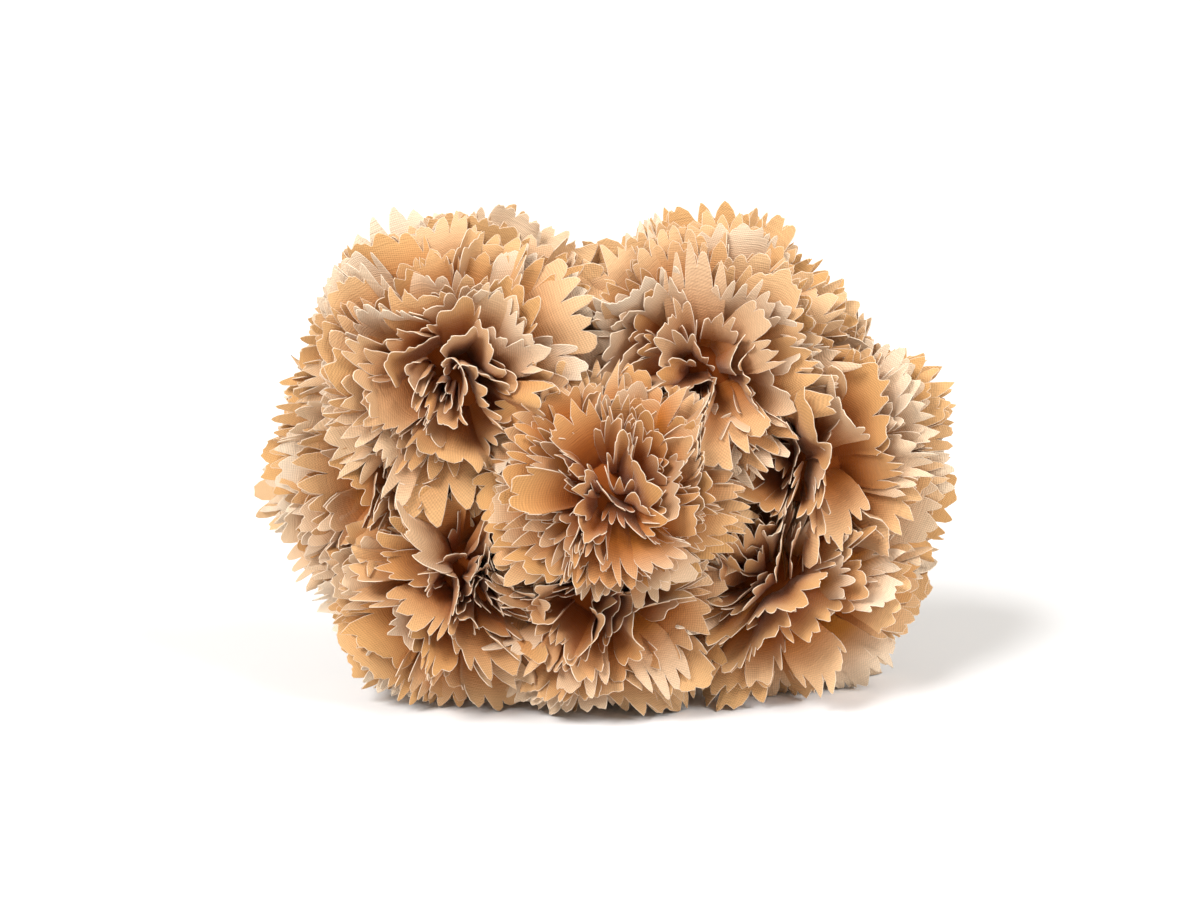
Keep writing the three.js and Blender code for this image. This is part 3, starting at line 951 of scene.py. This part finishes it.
def new_group(name, inputs, outputs):
    """A shader node group with its own inputs and outputs, given as name and socket kind"""
    tree = bpy.data.node_groups.new(name, "ShaderNodeTree")
    for label, kind in inputs:
        tree.interface.new_socket(label, in_out="INPUT", socket_type=f"NodeSocket{kind}")
    for label, kind in outputs:
        tree.interface.new_socket(label, in_out="OUTPUT", socket_type=f"NodeSocket{kind}")
    return tree, tree.nodes.new("NodeGroupInput").outputs, tree.nodes.new("NodeGroupOutput").inputs


def weave_group():
    """Threads that cross over and under: their height, and how much light they hold back"""
    tree, given, out = new_group(
        "Weave", (("Place", "Vector"), ("Pitch", "Float")), (("Height", "Float"), ("Shade", "Float")))
    wobble = noise(tree, given["Place"], WOBBLE_SCALE)
    parts = node(tree, "ShaderNodeSeparateXYZ", {"Vector": given["Place"]})
    number = math_node(tree, "DIVIDE", 2 * math.pi, given["Pitch"])
    shift = math_node(tree, "MULTIPLY", wobble, 2.2)
    waves = []
    for axis in ("X", "Y"):
        run = math_node(tree, "MULTIPLY", parts.outputs[axis], number)
        waves.append(math_node(tree, "SINE", math_node(tree, "ADD", run, shift)))
    height = math_node(tree, "MULTIPLY_ADD", math_node(tree, "MULTIPLY", *waves), 0.5, 0.5)
    feed(tree, out["Height"], height)
    uneven = math_node(tree, "MULTIPLY", height, wobble)
    feed(tree, out["Shade"], ranged(tree, uneven, 0.745, 1.385))
    return tree


def fray_and_highlight_group():
    """Where loose threads and a painted highlight show along a cut edge"""
    tree, given, out = new_group(
        "Fray and highlight", (("Place", "Vector"), ("Edge", "Float")), (("Mask", "Float"),))
    broken = ranged(tree, noise(tree, given["Place"], THREAD_SCALE), -0.75, 0.15)
    spread = math_node(tree, "ADD", math_node(tree, "MULTIPLY", given["Edge"], 1.3), broken)
    feed(tree, out["Mask"], node(tree, "ShaderNodeClamp", {"Value": spread}).outputs[0])
    return tree


def petal_cloth(colours, groups):
    """Woven petal cloth with its tints, its creases, its frayed rims with a painted highlight, and
    painted shade deep between the petals
    """
    material, tree = shader(
        "petal_cloth", Sheen_Weight=0.25, Sheen_Tint=(1.0, 0.91, 0.78, 1), Sheen_Roughness=0.45,
        Specular_IOR_Level=0.25)
    place, (_, _, up) = stored(tree, "cloth")
    _, (shade, heart, edge) = stored(tree, "tone")
    # Mask of the painted shade: 1 near the petals' roots, deep in the hollows, and 0 towards their
    # rims
    depth = node(tree, "ShaderNodeMapRange", {"Value": up, "From Min": 0.97, "From Max": 0.35},
                 interpolation_type="SMOOTHSTEP").outputs["Result"]
    weave = node(tree, "ShaderNodeGroup", node_tree=groups["weave"])
    fray_and_highlight = node(tree, "ShaderNodeGroup", node_tree=groups["fray_and_highlight"])
    for group, label, value in ((weave, "Pitch", WEAVE_PITCH), (fray_and_highlight, "Edge", edge)):
        feed(tree, group.inputs["Place"], place)
        feed(tree, group.inputs[label], value)
    mottle = noise(tree, place, CLOTH_SCALE, 3)

    lighter = math_node(tree, "MULTIPLY", shade, 2.0)
    paler = math_node(tree, "SUBTRACT", lighter, 1.0)
    tint = mixed(tree, lighter, colours.tan, colours.sand)
    tint = mixed(tree, paler, tint, colours.cream)
    tint = mixed(tree, math_node(tree, "MULTIPLY", heart, 0.95), tint, colours.heart)
    cloudy = ranged(tree, mottle, 0.88, 1.12)
    tint = dimmed(tree, tint, math_node(tree, "MULTIPLY", cloudy, weave.outputs["Shade"]))
    # Painted shade: the colour is multiplied towards the hollow shade deep between the petals
    painted_shade = mixed(tree, depth, (1.0, 1.0, 1.0), colours.hollow_shade)
    tint = mixed(tree, 1.0, tint, painted_shade, "MULTIPLY")
    # The rims are paler from frayed threads and from a painted highlight
    pale = math_node(tree, "MULTIPLY", fray_and_highlight.outputs["Mask"], 0.75)
    tint = mixed(tree, pale, tint, colours.fray_and_highlight)

    rough = ranged(tree, mottle, 0.72, 0.92)
    creased = math_node(tree, "MULTIPLY_ADD", mottle, 3.0, weave.outputs["Height"])
    cover(tree, tint, rough, creased, 0.6, 0.00012)
    return material


def dried_stem(colours):
    """Dried stem and calyx, ribbed along, paler at the nodes"""
    material, tree = shader("dried_stem")
    _, (turn, _, radius) = stored(tree, "stalk")
    is_calyx = math_node(tree, "GREATER_THAN", radius, 0.5)
    inputs = {"Value": radius, "From Min": 0.0019, "From Max": 0.0024}
    swollen = node(tree, "ShaderNodeMapRange", inputs).outputs["Result"]
    mottle = noise(tree, object_place(tree), STEM_SCALE, 4)
    ribs = math_node(tree, "SINE", math_node(tree, "MULTIPLY", turn, 12.0))
    stem = mixed(tree, swollen, colours.stem, colours.node)
    tint = mixed(tree, is_calyx, stem, colours.calyx)
    cloudy = ranged(tree, mottle, 0.6, 1.4)
    ribbed = math_node(tree, "MULTIPLY_ADD", ribs, 0.05, 1.0)
    tint = dimmed(tree, tint, math_node(tree, "MULTIPLY", cloudy, ribbed))
    rough = ranged(tree, mottle, 0.45, 0.75)
    cover(tree, tint, rough, math_node(tree, "MULTIPLY_ADD", ribs, 0.3, mottle), 0.5, 0.00025)
    return material


def twisted_cord(colours):
    """Cord of two twisted strands, with painted shade in the grooves between them"""
    material, tree = shader("twisted_cord")
    _, (turn, along, _) = stored(tree, "stalk")
    lay = math_node(tree, "MULTIPLY_ADD", along, 2 * math.pi / CORD_LAY, turn)
    strands = math_node(tree, "ABSOLUTE", math_node(tree, "SINE", lay))
    fibres = noise(tree, object_place(tree), FIBRE_SCALE)
    height = math_node(tree, "MULTIPLY_ADD", fibres, 0.35, strands)
    # Painted shade: the cord darkens down into the grooves between its strands, and its fibres mottle
    # it
    tint = dimmed(tree, colours.cord, ranged(tree, height, 0.4, 0.9))
    rough = ranged(tree, fibres, 0.75, 0.95)
    cover(tree, tint, rough, height, 0.9, 0.0003)
    return material


def pale_floor():
    """Plain pale surface"""
    return shader(
        "pale_floor", Base_Color=(0.9, 0.9, 0.905, 1), Roughness=0.6, Specular_IOR_Level=0.1)[0]


class CARNATIONS_OT_stage(bpy.types.Operator):
    """Set the floor, the light and the camera"""

    bl_idname = "carnations.stage"
    bl_label = "Set the stage"

    def execute(self, context):
        scene = context.scene
        scene.view_settings.view_transform = "Standard"

        mesh = bmesh.new()
        bmesh.ops.create_circle(mesh, cap_ends=True, segments=64, radius=FLOOR_RADIUS)
        floor = finished(mesh, "floor", pale_floor())

        scene.world = bpy.data.worlds.new("studio")
        scene.world.use_nodes = True
        background = scene.world.node_tree.nodes["Background"]
        background.inputs["Color"].default_value = SKY_COLOUR
        background.inputs["Strength"].default_value = SKY_STRENGTH

        for name, strength, width, heading in SUNS:
            sun = bpy.data.lights.new(name, "SUN")
            sun.energy = strength
            sun.angle = math.radians(width)
            shown = bpy.data.objects.new(name, sun)
            shown.rotation_euler = Vector(heading).to_track_quat("-Z", "Y").to_euler()
            scene.collection.objects.link(shown)

        lens = bpy.data.cameras.new("camera")
        lens.lens = LENS
        lens.shift_x, lens.shift_y = SHIFT
        camera = bpy.data.objects.new("camera", lens)
        away = Vector((0, -math.cos(ELEVATION), math.sin(ELEVATION)))
        camera.location = Vector(TARGET) + away * DISTANCE
        camera.rotation_euler = (-away).to_track_quat("-Z", "Y").to_euler()
        scene.collection.objects.link(camera)
        scene.camera = camera
        return {"FINISHED"}


class CARNATIONS_OT_stalks(bpy.types.Operator):
    """Grow the eight stems with their calyxes"""

    bl_idname = "carnations.stalks"
    bl_label = "Grow the stems"

    def execute(self, context):
        material = dried_stem(context.scene.stem_colours)
        for head in HEADS:
            stalk = Stalk(head, context.scene.stem_sizes)
            stalk.add_stem()
            stalk.add_calyx()
            piece = stalk.object(f"stalk_{head.name}", material)
            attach(piece, "root")
            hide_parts(f"stem_{head.name}")
        return {"FINISHED"}


class CARNATIONS_OT_cord(bpy.types.Operator):
    """Wind the cord of the tie round the stems"""

    bl_idname = "carnations.cord"
    bl_label = "Wind the cord"

    def execute(self, context):
        piece = wound_cord(context.scene.stem_sizes, twisted_cord(context.scene.stem_colours))
        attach(piece, "root")
        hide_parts("tie")
        return {"FINISHED"}


class CARNATIONS_OT_blooms(bpy.types.Operator):
    """Grow the eight blooms"""

    bl_idname = "carnations.blooms"
    bl_label = "Grow the blooms"

    def execute(self, context):
        sizes = context.scene.petal_sizes
        groups = {"weave": weave_group(), "fray_and_highlight": fray_and_highlight_group()}
        material = petal_cloth(context.scene.petal_colours, groups)
        frames = {head.name: HeadFrame(head) for head in HEADS}
        swings = Swing(*RUFFLE), Swing(*SWAY)
        for head in HEADS:
            others = [other for name, other in frames.items() if name != head.name]
            bloom = Bloom(head, sizes, others, *swings)
            bloom.add_petals([wide for wide in WIDE_PETALS if wide.head == head.name])
            piece = bloom.object(f"petals_{head.name}", material)
            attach(piece, "root")
            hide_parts(f"bloom_{head.name}")
        return {"FINISHED"}


class CARNATIONS_PT_tools(bpy.types.Panel):
    """Steps that dress the bunch, and the sizes and colours that they use"""

    bl_idname = "CARNATIONS_PT_tools"
    bl_label = "Carnations"
    bl_space_type = "VIEW_3D"
    bl_region_type = "UI"
    bl_category = "Carnations"

    def draw(self, context):
        layout = self.layout
        for operator in STEPS:
            layout.operator(operator.bl_idname)
        for name in GROUPS:
            box = layout.box()
            group = getattr(context.scene, name)
            for label in group.__annotations__:
                box.prop(group, label)


GROUPS = {
    "petal_sizes": PetalSizes,
    "petal_colours": PetalColours,
    "stem_sizes": StemSizes,
    "stem_colours": StemColours,
}
STEPS = (CARNATIONS_OT_stage, CARNATIONS_OT_stalks, CARNATIONS_OT_cord, CARNATIONS_OT_blooms)
CLASSES = (*GROUPS.values(), *STEPS, CARNATIONS_PT_tools)


def register():
    for kind in CLASSES:
        bpy.utils.register_class(kind)
    for name, group in GROUPS.items():
        setattr(bpy.types.Scene, name, PointerProperty(type=group))


def unregister():
    for name in reversed(GROUPS):
        delattr(bpy.types.Scene, name)
    for kind in reversed(CLASSES):
        bpy.utils.unregister_class(kind)


def main():
    register()
    bpy.ops.carnations.stage()
    bpy.ops.carnations.stalks()
    bpy.ops.carnations.cord()
    bpy.ops.carnations.blooms()


if __name__ == "__main__":
    main()
